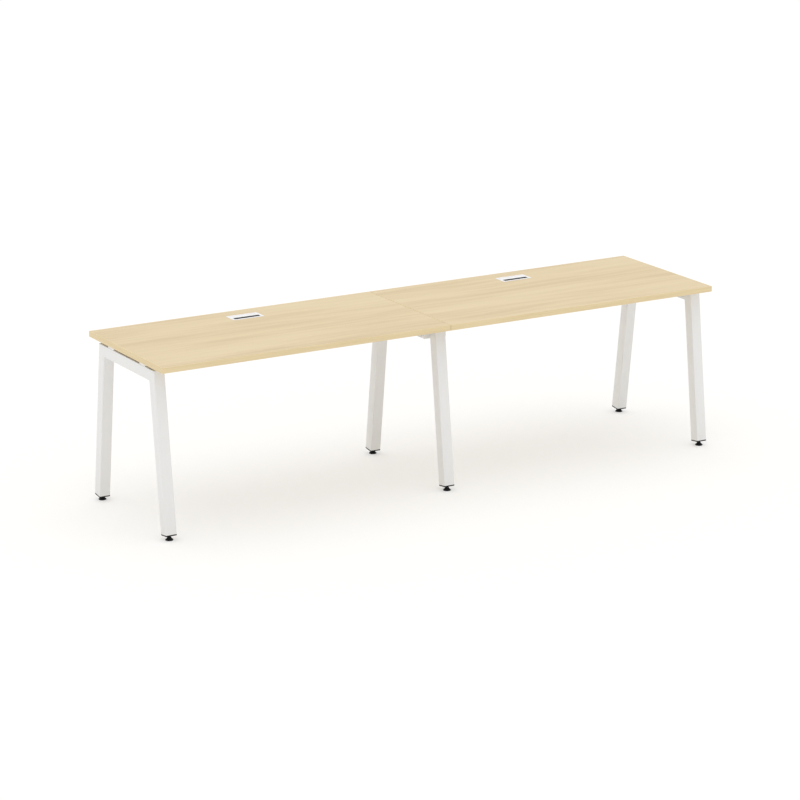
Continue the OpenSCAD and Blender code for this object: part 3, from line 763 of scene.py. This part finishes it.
def plate_bead(face, beam_x, beam_half, way, side, steel):
    """A fillet weld up one side of a beam: a nearly flat arc between plate and tube, carried upwards.
    Its leg swells with a cosine of the height less a share of a ripple times the square of the
    place across the arc, so each ripple is a crescent, and it runs out to a sixth at both ends."""
    crescent, flatness, thinning, buried = 0.4, 1.6, 0.97, 0.1 * steel.bead_leg
    rise = np.linspace(-0.5, 0.5, 97)[:, None]
    arc = np.linspace(0, np.pi / 2, 9)
    across = arc / (np.pi / 4) - 1
    ripples = rise * steel.bead_length / steel.bead_ripple - crescent * across ** 2
    run_out = np.sqrt(1 - np.abs(2 * rise) ** 6 * thinning)
    size = steel.bead_leg * run_out * (1 + steel.bead_depth * np.cos(TURN * ripples))
    root = np.full((len(rise), 1), -buried)
    grid = np.empty((len(rise), len(arc) + 1, 3))
    grid[..., 0] = beam_x + way * np.hstack([size * np.cos(arc) ** flatness, root])
    grid[..., 1] = face[1] + side * (beam_half + np.hstack([size * np.sin(arc) ** flatness, root]))
    grid[..., 2] = face[2] + rise * steel.bead_length
    return skin(grid)


def beam_bolt(fastener, plate_t):
    """A flanged hexagon bolt, as one radius for each height and angle: the shank, the flange's cone,
    and a hexagon turned to a cone at its end. Z points out of its head, from the rail's face."""
    shank, flange, across = fastener.bolt_d / 2, fastener.flange_d / 2, fastener.bolt_af
    seat = plate_t
    tip, chamfer = seat - fastener.bolt_l, shank / 5
    hexagon = seat + fastener.flange_t
    top = hexagon + fastener.bolt_head_h
    edge, rim_from, rim_to, cone, dish_deep = 0.2 * MM, 0.3 * MM, 0.7 * MM, 0.5 * MM, 0.25 * MM
    turned = [(shank - chamfer, tip), (shank, tip + chamfer), (shank, seat),
              (flange - edge, seat), (flange, seat + rim_from), (flange, seat + rim_to),
              (flange - cone, hexagon)]
    angle = round_angles(ROUND_STEPS)
    rows = np.linspace(hexagon - edge, top, 9)[:, None]
    # The cone's lower end lies far below the hexagon, so that only the upper end is turned.
    far_below = hexagon - fastener.bolt_head_h
    head = chamfered_hexagon(angle, rows, far_below, top, across)
    dish = [(0.40 * across, top), (0.36 * across, top - dish_deep)]
    return skin(np.concatenate([lathe(turned), polar(head, rows, angle), lathe(dish)]))


def desktop_screw(fastener, head_h, top):
    """A button-head screw: from the floor of its hexagon socket out over the quarter-round dome and up
    the shank to its point. Z is up, from the beam's underside."""
    steps, edge, socket_chamfer = 36, 0.8 * MM, 0.15 * MM
    head, shank = fastener.screw_head_d / 2, fastener.screw_d / 2
    angle = round_angles(steps)
    floor = -head_h + fastener.screw_socket_deep
    sizes = np.array([0.3, 1.0, 1.0, 1.08])[:, None]
    heights = np.array([floor, floor, -head_h + socket_chamfer, -head_h])[:, None]
    socket = polar(hexagon_radius(angle, fastener.screw_socket) * sizes, heights, angle)
    dome = np.linspace(0, np.pi / 2, 8)
    flat = 0.56 * head
    rounded = np.column_stack([flat + (head - flat) * np.sin(dome),
                               -edge - (head_h - edge) * np.cos(dome)])
    rest = [(head, 0), (shank, 0), (shank, top - shank), (0.3 * shank, top)]
    return skin(np.concatenate([socket, lathe(rounded, steps), lathe(rest, steps)]))


def spacer(fastener, height):
    """A plain ring with chamfered rims."""
    out, bore, edge = fastener.spacer_d / 2, fastener.spacer_bore / 2, fastener.spacer_edge
    return skin(lathe([
        (bore + edge, 0), (out - edge, 0), (out, edge), (out, height - edge),
        (out - edge, height), (bore + edge, height), (bore, height - edge), (bore, edge)]),
        ring=True)


def add_welds_and_bolts(steel, fastener, coat, zinc):
    """Two welds and two bolts at each end of each beam."""
    lo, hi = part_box("left_front_beam")
    beam_half = (hi.y - lo.y) / 2
    beads, bolts = [], []
    for face, way, beam_x in beam_ends():
        bolt = beam_bolt(fastener, abs(beam_x - face[0]))
        for side in (-1, 1):
            beads.append(plate_bead(face, beam_x, beam_half, way, side, steel))
            place = face + np.array([0.0, side * fastener.bolt_pitch / 2, 0.0])
            bolts.append(carry(bolt, facing_x(place, way)))
    make_piece("beam_plate_welds", beads, "desk", coat)
    make_piece("flanged_beam_bolts", bolts, "desk", zinc, ["beam_bolts"])


def add_screws_and_spacers(fastener, white, zinc):
    """A screw up through the beam, and a spacer round it between beam and desktop, at each place."""
    under_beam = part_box("left_front_beam")[0].z
    lo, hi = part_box("desktop_screws")
    screw = desktop_screw(fastener, under_beam - lo.z, hi.z - under_beam)
    ring_lo, ring_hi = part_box("beam_spacers")
    ring = spacer(fastener, ring_hi.z - ring_lo.z)
    screws, rings = [], []
    for x, y, z in desktop_screw_places(fastener.screw_head_d):
        screws.append(carry(screw, upright(x, y, z)))
        rings.append(carry(ring, upright(x, y, ring_lo.z)))
    make_piece("button_head_screws", screws, "desk", zinc, ["desktop_screws"])
    make_piece("spacer_rings", rings, "desk", white, ["beam_spacers"])


def add_rail_pads(fastener, white):
    """Over each end of each cross rail, a block with rounded edges on a turned peg. The pads lie
    over the middles of rail and beam, and the outermost pad's far corner gives their size."""
    peg, chamfer, into_block = fastener.peg_d / 2, 0.8 * MM, 2 * MM
    lo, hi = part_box("rail_pads")
    rail_lo, rail_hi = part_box("right_cross_rail")
    beam_lo, beam_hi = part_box("left_rear_beam")
    width = 2 * (hi.x - (rail_lo.x + rail_hi.x) / 2)
    depth = 2 * (hi.y - (beam_lo.y + beam_hi.y) / 2)
    block = rounded_block(width, depth, fastener.pad_corner, rail_hi.z, hi.z, fastener.pad_edge)
    stub = skin(lathe([(peg - chamfer, lo.z), (peg, lo.z + chamfer), (peg, rail_hi.z + into_block)],
                      steps=ROUND_STEPS // 2))
    pads = []
    for frame_name in FRAMES:
        rail_lo, rail_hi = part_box(f"{frame_name}_cross_rail")
        for end in ENDS:
            beam_lo, beam_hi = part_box(f"left_{end}_beam")
            spot = upright((rail_lo.x + rail_hi.x) / 2, (beam_lo.y + beam_hi.y) / 2, 0.0)
            pads += [carry(block, spot), carry(stub, spot)]
    make_piece("moulded_rail_pads", pads, "desk", white, ["rail_pads"])


class BENCHDESK_OT_beams(bpy.types.Operator):
    """Finish the beams and their end plates, with welds, bolts, nuts, spacers and desktop screws."""

    bl_idname = "benchdesk.beams"
    bl_label = "Beams and fasteners"

    def execute(self, context):
        steel = context.scene.benchdesk_steel
        fastener = context.scene.benchdesk_fasteners
        # The beams, their end plates and welds get the darker copy of the white coat, which is painted
        # shade.
        coat = powder_coat("powder_coat_beam", steel.shaded_beam_coat, steel)
        zinc = plated_steel("zinc_plate", steel.zinc, 0.34)
        white = moulded_plastic("white_plastic", fastener.white_plastic, 0.50)
        for side in SIDES:
            for end in ENDS:
                dress(f"{side}_{end}_beam", coat)
        softened_copy("beam_end_plates", "desk", coat, steel.plate_edge)
        dress("rail_nuts", zinc)
        add_welds_and_bolts(steel, fastener, coat, zinc)
        add_screws_and_spacers(fastener, white, zinc)
        add_rail_pads(fastener, white)
        return {"FINISHED"}


# Feet

def end_cap(foot, cap_span, leg_start):
    """An end cap about the leg's axis: one closed ring of outlines, from the collar's hole across the
    recessed underside, round the rounded plate, up the plug, over the boss and down the bore. Four
    ribs join boss and plug."""
    lead, least_corner = 0.5 * MM, 1.0 * MM
    bottom, top = cap_span[0][2], cap_span[1][2]
    width = cap_span[1][0] - cap_span[0][0]
    bore, boss, collar = foot.cap_bore / 2, foot.boss_d / 2, foot.cap_collar_d / 2
    recess, pocket_floor = bottom + foot.cap_recess, top - foot.nut_h
    plug_outside, plug_inside = foot.plug_gap, foot.plug_gap + foot.plug_wall

    def square(inwards):
        corner = max(foot.cap_corner - inwards, least_corner)
        return rounded_outline(width - 2 * inwards, width - 2 * inwards, corner)

    def round_at(radius):
        return circle_like(square(0), radius)

    pocket = hexagon_like(square(0), foot.nut_pocket)
    levels = [(round_at(bore), bottom + lead), (round_at(bore + lead), bottom),
              (round_at(collar), bottom), (round_at(collar + lead), recess),
              (square(foot.cap_rim + lead), recess), (square(foot.cap_rim), bottom)]
    levels += [(square(i), bottom + r) for i, r in zip(*quarter_round(foot.cap_edge))]
    levels += [(square(0), leg_start - lead / 2), (square(lead / 2), leg_start),
               (square(plug_outside), leg_start), (square(plug_outside), top - lead),
               (square(plug_outside + lead), top), (square(plug_inside), top),
               (square(plug_inside), leg_start), (round_at(boss), leg_start), (round_at(boss), top),
               (pocket, top), (pocket, pocket_floor), (round_at(bore), pocket_floor)]
    return [skin(stack(levels), ring=True),
            *cap_ribs(foot, boss, width / 2 - plug_inside, leg_start, top - lead)]


def cap_ribs(foot, boss, reach, bottom, top):
    """Four ribs, a quarter turn apart, that sink a little into the boss, the plug and the plate."""
    overlap, sunk, corner = 0.3 * MM, 0.2 * MM, 0.2 * MM
    near, far = boss - overlap, reach + overlap
    rib = rounded_outline(far - near, foot.rib_t, corner) + [(near + far) / 2, 0]
    for quarter in range(4):
        spin = quarter * np.pi / 2
        turn = np.array([[math.cos(spin), math.sin(spin)], [-math.sin(spin), math.cos(spin)]])
        yield skin(stack([(rib @ turn, bottom - sunk), (rib @ turn, top)]))


def foot_screw(foot, span):
    """A foot screw about its own axis, as one radius for each height and angle: a ball, a neck, a
    hexagon, a short relief and then a right-hand thread that fades in and ends in a chamfer."""
    relief, under_thread, fillet, flare, chamfer = 0.7 * MM, 0.1 * MM, 0.3 * MM, 0.4 * MM, 1.0 * MM
    rows_per_pitch = 10
    ball, top = -span[0][2], span[1][2]
    neck, major = foot.neck_d / 2, foot.stem_d / 2
    core = major - foot.thread_depth - under_thread
    tilt = np.linspace(-np.pi / 2, np.arccos(neck / ball), 16)[1:]
    hexagon_foot, hexagon_top = foot.hex_rise, foot.hex_rise + foot.hex_h
    start = hexagon_top + relief
    angle = round_angles(ROUND_STEPS)
    hexagon_rows = np.linspace(hexagon_foot, hexagon_top, 9)[:, None]
    hexagon = chamfered_hexagon(angle, hexagon_rows, hexagon_foot, hexagon_top, foot.hex_af)
    rows = np.linspace(start, top, int((top - start) / foot.pitch * rows_per_pitch))[:, None]
    fade = np.minimum(core + (rows - start), major - (rows - top + chamfer))
    thread = np.minimum(thread_radius(angle, rows, foot.pitch, major, foot.thread_depth), fade)
    return skin(np.concatenate([
        lathe(ball * np.column_stack([np.cos(tilt), np.sin(tilt)])),
        lathe([(neck, hexagon_foot - fillet), (neck + flare, hexagon_foot)]),
        polar(hexagon, hexagon_rows, angle),
        lathe([(core + fillet, hexagon_top), (core, hexagon_top + fillet)]),
        polar(thread, rows, angle)]))


def foot_pad(foot, radius, height, ball_z, ball):
    """A turned foot pad: flat sole, rim with the groove of its rubber sole, bell, lip, mouth and the
    ball's socket. From rim to neck the bell's radius falls with the height still to go, as its share
    to the power 1.6."""
    edge, lip, lip_height, funnel_size, below_bell = 0.7 * MM, 0.8 * MM, 0.6, 1.0 * MM, 0.3 * MM
    groove_z, groove_deep, groove_slope, groove_width = 1.5 * MM, 0.3 * MM, 0.1 * MM, 0.45 * MM
    neck, mouth, rim = foot.pad_neck_d / 2, foot.pad_mouth_d / 2, foot.pad_rim
    centre = [(0.0, 0.0), (radius * 0.9, 0.0)]
    inset, rise = quarter_round(edge)
    sole = np.column_stack([radius - inset, rise])
    groove = [(radius, groove_z), (radius - groove_deep, groove_z + groove_slope),
              (radius - groove_deep, groove_z + groove_width - groove_slope),
              (radius, groove_z + groove_width), (radius, rim - below_bell)]
    share_up = np.linspace(0.03, 0.93, 14)
    bell = np.column_stack([neck + (radius - neck) * (1 - share_up) ** 1.6,
                            rim + (height - rim) * share_up])
    turn = np.linspace(0, np.pi / 2, 5)
    rounded = np.column_stack([neck - lip * (1 - np.cos(turn)),
                               height - lip * (1 - np.sin(turn)) * lip_height])
    funnel = [(mouth + funnel_size, height), (mouth, height - funnel_size)]
    socket = ball + foot.ball_gap
    tilt = np.linspace(np.arccos(mouth / socket), -np.pi / 2, 14)
    cup = np.column_stack([socket * np.cos(tilt), ball_z + socket * np.sin(tilt)])
    profile = np.concatenate([centre, sole, groove, bell, rounded, funnel, cup])
    return skin(lathe(profile, steps=64), open_ends=True)


def add_foot(foot, look, cap_black, pad_black, screw_black):
    """One leg's end cap and foot screw about the leg's axis, and its upright foot pad."""
    place = leg_place(foot)
    leg_start = span_in(place, f"{foot}_leg")[0][2]
    cap = end_cap(look, span_in(place, f"{foot}_end_cap"), leg_start)
    make_piece(f"{foot}_moulded_cap", [carry(shape, place) for shape in cap], "desk",
               cap_black, [f"{foot}_end_cap"])
    screw_span = span_in(place, f"{foot}_foot_screw")
    make_piece(f"{foot}_threaded_screw", [carry(foot_screw(look, screw_span), place)],
               f"{foot}_screw", screw_black, [f"{foot}_foot_screw"])
    lo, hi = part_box(f"{foot}_foot_pad")
    x, y, ball_z = place[0]
    pad = foot_pad(look, (hi.x - lo.x) / 2, hi.z, ball_z, -screw_span[0][2])
    make_piece(f"{foot}_bell_pad", [carry(pad, upright(x, y, 0.0))], f"{foot}_foot",
               pad_black, [f"{foot}_foot_pad"])


class BENCHDESK_OT_feet(bpy.types.Operator):
    """Make the end caps, threaded foot screws and foot pads, and finish the nuts in the caps."""

    bl_idname = "benchdesk.feet"
    bl_label = "Feet"

    def execute(self, context):
        look = context.scene.benchdesk_feet
        steel = context.scene.benchdesk_steel
        cap_black = moulded_plastic("cap_black", look.black, 0.46, shine=look.shine)
        pad_black = moulded_plastic("pad_black", look.black, 0.55, 0.8 * MM, 0.02 * MM, look.shine)
        screw_black = plated_steel("black_zinc", look.black_steel, 0.42, 1.8 * MM)
        dress("end_cap_nuts", plated_steel("nut_zinc", steel.zinc, 0.36))
        for foot in FEET:
            add_foot(foot, look, cap_black, pad_black, screw_black)
        return {"FINISHED"}


# Cable ports

def port_ring(port, rim_box, mouth_box):
    """A port's rim and sleeve about its centre: one closed ring of outlines, up the mouth, over the
    rim and its rounded edges, back under the rim and down the sleeve."""
    chamfer = 0.1 * MM
    top, bottom = rim_box[1].z, rim_box[0].z
    under = top - port.rim_t
    rim, mouth = rim_box[1] - rim_box[0], mouth_box[1] - mouth_box[0]

    def outline(size, outwards, corner):
        return rounded_outline(size.x + 2 * outwards, size.y + 2 * outwards, corner)

    inset, rise = quarter_round(port.mouth_edge)
    levels = [(outline(mouth, 0, port.mouth_corner), bottom)]
    levels += [(outline(mouth, i, port.mouth_corner + i), top - r)
               for i, r in zip(inset[::-1], rise[::-1])]
    levels += [(outline(rim, -i, port.rim_corner - i), top - r)
               for i, r in zip(*quarter_round(port.rim_edge))]
    sleeve = outline(mouth, port.sleeve_wall, port.sleeve_corner)
    levels += [(outline(rim, 0, port.rim_corner), under + chamfer),
               (outline(rim, -chamfer, port.rim_corner - chamfer), under),
               (sleeve, under), (sleeve, bottom)]
    return skin(stack(levels), ring=True)


def lid_outline(port, reach, shrink):
    """The lid's section seen along -X, as points in Y and Z from the hinge line: a plate whose front
    edge is round, flush with the top of the hinge barrel. Shrink moves every side inwards."""
    top, bottom = port.barrel_r - shrink, port.barrel_r - port.lid_t + shrink
    nose_corner = port.lid_edge - min(shrink, port.lid_edge / 2)
    nose = -reach + shrink + nose_corner

    def arc(y, z, radius, start, end, points):
        turn = np.linspace(start, end, points)
        return np.column_stack([y + radius * np.cos(turn), z + radius * np.sin(turn)])

    meet = math.asin(bottom / top)
    return np.concatenate([
        arc(nose, top - nose_corner, nose_corner, np.pi, np.pi / 2, 5),
        arc(0, 0, top, np.pi / 2, meet - np.pi, 22),
        arc(nose, bottom + nose_corner, nose_corner, 3 * np.pi / 2, np.pi, 5)])


def port_lid(port, lo, hi, hinge):
    """A lid: its section carried along X, drawn in over the last stretch at each end by a quarter
    round."""
    end_share = 0.6
    inset, rise = quarter_round(port.lid_edge * end_share)
    shrink = np.concatenate([inset, inset[::-1]])
    sections = np.stack([lid_outline(port, hinge[1] - lo.y, one) for one in shrink])
    grid = np.empty((*sections.shape[:2], 3))
    grid[..., 0] = np.concatenate([lo.x + rise, (hi.x - rise)[::-1]])[:, None]
    grid[..., 1:] = sections + np.array(hinge)[1:]
    return skin(grid)


class BENCHDESK_OT_cable_ports(bpy.types.Operator):
    """Make the rims and lids of the cable ports, and finish their liners and hinge pins."""

    bl_idname = "benchdesk.cable_ports"
    bl_label = "Cable ports"

    def execute(self, context):
        port = context.scene.benchdesk_ports
        steel = context.scene.benchdesk_steel
        white = moulded_plastic("port_white", port.white, 0.34, 0.7 * MM, 0.008 * MM)
        liner = moulded_plastic("liner_black", port.liner, 0.55, shine=port.liner_shine)
        pin = turned_steel("hinge_pin", steel.zinc)
        for side in SIDES:
            rim_box, mouth_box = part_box(f"{side}_port_frame"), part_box(f"{side}_port_liner")
            centre = (rim_box[0] + rim_box[1]) / 2
            ring = carry(port_ring(port, rim_box, mouth_box), upright(centre.x, centre.y, 0.0))
            make_piece(f"{side}_port_rim", [ring], "desk", white,
                       [f"{side}_port_frame"])
            hinge = JOINTS[f"{side}_lid_hinge"]["pos_m"]
            lid = port_lid(port, *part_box(f"{side}_port_lid"), hinge)
            make_piece(f"{side}_port_flap", [lid], f"{side}_lid", white,
                       [f"{side}_port_lid"])
            dress(f"{side}_port_liner", liner)
            dress(f"{side}_lid_pins", pin)
        return {"FINISHED"}


# Studio

WHITE = (1.0, 1.0, 1.0)


def emptied(block):
    """The node tree of a new material or world, with nothing in it."""
    block.use_nodes = True
    block.node_tree.nodes.clear()
    return Nodes(block.node_tree)


def seen_directly(nodes):
    """1 for rays from the camera, and for what gloss and glass show, and 0 for the light itself."""
    path = nodes.add("ShaderNodeLightPath").outputs
    seen = nodes.maths("MAXIMUM", path["Is Camera Ray"], path["Is Glossy Ray"])
    return nodes.maths("MAXIMUM", seen, path["Is Transmission Ray"])


def mix_into(nodes, output, factor, first, second):
    """Feeds an output with one shader turning into another as the factor goes from 0 to 1."""
    mix = nodes.add("ShaderNodeMixShader", {0: factor, 1: first.outputs[0], 2: second.outputs[0]})
    nodes.add(output, {"Surface": mix.outputs[0]})


def studio_floor(studio):
    """A white floor that keeps the desk's shadow: the camera and reflections see part of it as plain
    white, so the shadow is as pale as in a bright studio."""
    material = bpy.data.materials.new("studio_floor")
    nodes = emptied(material)
    seen = nodes.maths("MULTIPLY", seen_directly(nodes), studio.floor_glow)
    mix_into(nodes, "ShaderNodeOutputMaterial", seen,
             nodes.add("ShaderNodeBsdfDiffuse", {"Color": studio.floor}),
             nodes.add("ShaderNodeEmission", {"Color": WHITE}))
    radius = studio.floor_radius
    disc = skin(lathe([(0.0, 0.0), (radius / 2, 0.0), (radius, 0.0)], steps=64), open_ends=True)
    floor = place_in_scene("studio_floor", new_mesh("studio_floor", [disc]))
    floor.data.materials.append(material)


def studio_world(studio):
    """Even white light from all round, which the camera sees as plain white."""
    world = bpy.data.worlds.new("studio_world")
    nodes = emptied(world)
    mix_into(nodes, "ShaderNodeOutputWorld", seen_directly(nodes),
             nodes.add("ShaderNodeBackground", {"Color": WHITE, "Strength": studio.dome}),
             nodes.add("ShaderNodeBackground", {"Color": WHITE, "Strength": 1.0}))
    bpy.context.scene.world = world


def studio_lamp(studio):
    """A soft sun straight overhead. Only its direction counts, and its height is for the eye."""
    height = 4.0
    lamp = bpy.data.lights.new("overhead_lamp", "SUN")
    lamp.energy = studio.lamp
    lamp.angle = studio.lamp_spread
    place_in_scene("overhead_lamp", lamp).location.z = height


def studio_camera(studio):
    """The camera at the photograph's viewing angle, aimed beside the origin across its own view."""
    azimuth, elevation = studio.azimuth, studio.elevation
    back = Vector((math.sin(azimuth) * math.cos(elevation),
                   -math.cos(azimuth) * math.cos(elevation), math.sin(elevation)))
    right = Vector((0, 0, 1)).cross(back).normalized()
    up = back.cross(right)
    data = bpy.data.cameras.new("studio_camera")
    data.sensor_width = 36.0
    data.lens = studio.lens
    data.clip_end = 200.0
    camera = place_in_scene("studio_camera", data)
    camera.location = back * studio.distance + right * studio.aim_right + up * studio.aim_up
    camera.rotation_euler = (-back).to_track_quat("-Z", "Y").to_euler()
    bpy.context.scene.camera = camera


class BENCHDESK_OT_studio(bpy.types.Operator):
    """Make the floor, light and camera."""

    bl_idname = "benchdesk.studio"
    bl_label = "Studio"

    def execute(self, context):
        for make in (studio_floor, studio_world, studio_camera, studio_lamp):
            make(context.scene.benchdesk_studio)
        context.scene.view_settings.view_transform = "Standard"
        return {"FINISHED"}


class BENCHDESK_PT_panel(bpy.types.Panel):
    """Lists the desk's pieces in the order in which they are made."""

    bl_idname = "BENCHDESK_PT_panel"
    bl_label = "Bench desk"
    bl_space_type = "VIEW_3D"
    bl_region_type = "UI"
    bl_category = "Bench desk"

    def draw(self, context):
        for operator in OPERATORS:
            self.layout.operator(operator.bl_idname)
        for name, _ in SETTINGS:
            group = getattr(context.scene, name)
            box = self.layout.box()
            for key in group.bl_rna.properties.keys():
                if key not in ("rna_type", "name"):
                    box.prop(group, key)


SETTINGS = (
    ("benchdesk_laminate", LaminateSettings),
    ("benchdesk_steel", SteelSettings),
    ("benchdesk_fasteners", FastenerSettings),
    ("benchdesk_feet", FootSettings),
    ("benchdesk_ports", PortSettings),
    ("benchdesk_studio", StudioSettings),
)
OPERATORS = (
    BENCHDESK_OT_desktops,
    BENCHDESK_OT_frames,
    BENCHDESK_OT_beams,
    BENCHDESK_OT_feet,
    BENCHDESK_OT_cable_ports,
    BENCHDESK_OT_studio,
)


def register():
    """Registers the settings on the scene, the operators and the panel."""
    for name, group in SETTINGS:
        bpy.utils.register_class(group)
        setattr(bpy.types.Scene, name, bpy.props.PointerProperty(type=group))
    for part in (*OPERATORS, BENCHDESK_PT_panel):
        bpy.utils.register_class(part)


def unregister():
    """Takes them away again, in the opposite order."""
    for part in reversed((*OPERATORS, BENCHDESK_PT_panel)):
        bpy.utils.unregister_class(part)
    for name, group in reversed(SETTINGS):
        delattr(bpy.types.Scene, name)
        bpy.utils.unregister_class(group)


def main():
    """Makes the pieces and the studio in order."""
    register()
    bpy.ops.benchdesk.desktops()
    bpy.ops.benchdesk.frames()
    bpy.ops.benchdesk.beams()
    bpy.ops.benchdesk.feet()
    bpy.ops.benchdesk.cable_ports()
    bpy.ops.benchdesk.studio()


if __name__ == "__main__":
    main()
